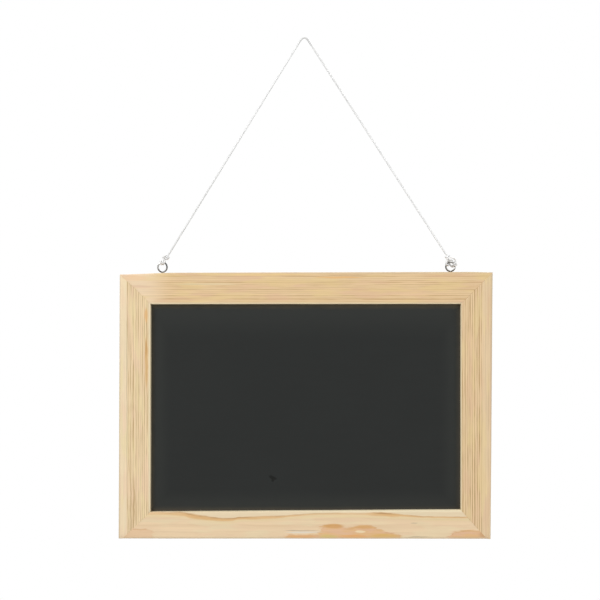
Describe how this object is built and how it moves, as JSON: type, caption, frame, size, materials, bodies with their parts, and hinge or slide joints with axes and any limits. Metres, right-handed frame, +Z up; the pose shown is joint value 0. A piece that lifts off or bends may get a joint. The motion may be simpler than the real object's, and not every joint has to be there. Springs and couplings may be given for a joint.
{
  "type": "hanging menu chalkboard",
  "caption": "Landscape black writing panel in a mitred pine frame, hung by a thin pale cord from screw eyes in its top edge.",
  "frame": {"origin": "the hang point: the underside of the cord's bend, where it bears on its hook", "axes": "+X to the right of someone reading the board, +Y towards the board's back, +Z up"},
  "size_m": [0.42, 0.015, 0.5661],
  "materials": {
    "pine": "planed and sanded, unvarnished",
    "chalkboard_panel": "hardboard with a matt black writing coat",
    "nail_steel": "pressed strip, flush with the wood",
    "eye_steel": "bright zinc plated wire",
    "cord_nylon": "twisted white nylon cord"
  },
  "bodies": {
    "cord": {"hanging_cord": "cord_nylon", "left_knot": "cord_nylon", "right_knot": "cord_nylon"},
    "board": {"top_rail": "pine", "bottom_rail": "pine", "left_stile": "pine", "right_stile": "pine", "writing_panel": "chalkboard_panel", "corner_nails_top_left": "nail_steel", "corner_nails_top_right": "nail_steel", "corner_nails_bottom_left": "nail_steel", "corner_nails_bottom_right": "nail_steel", "left_screw_eye": "eye_steel", "right_screw_eye": "eye_steel"}
  },
  "joints": [
    {"name": "board_swing", "type": "hinge", "parent": "cord", "child": "board", "pos_m": [0.0026, 0, -0.2529], "axis": [1, 0, 0], "range_deg": [-110, 110]}
  ]
}
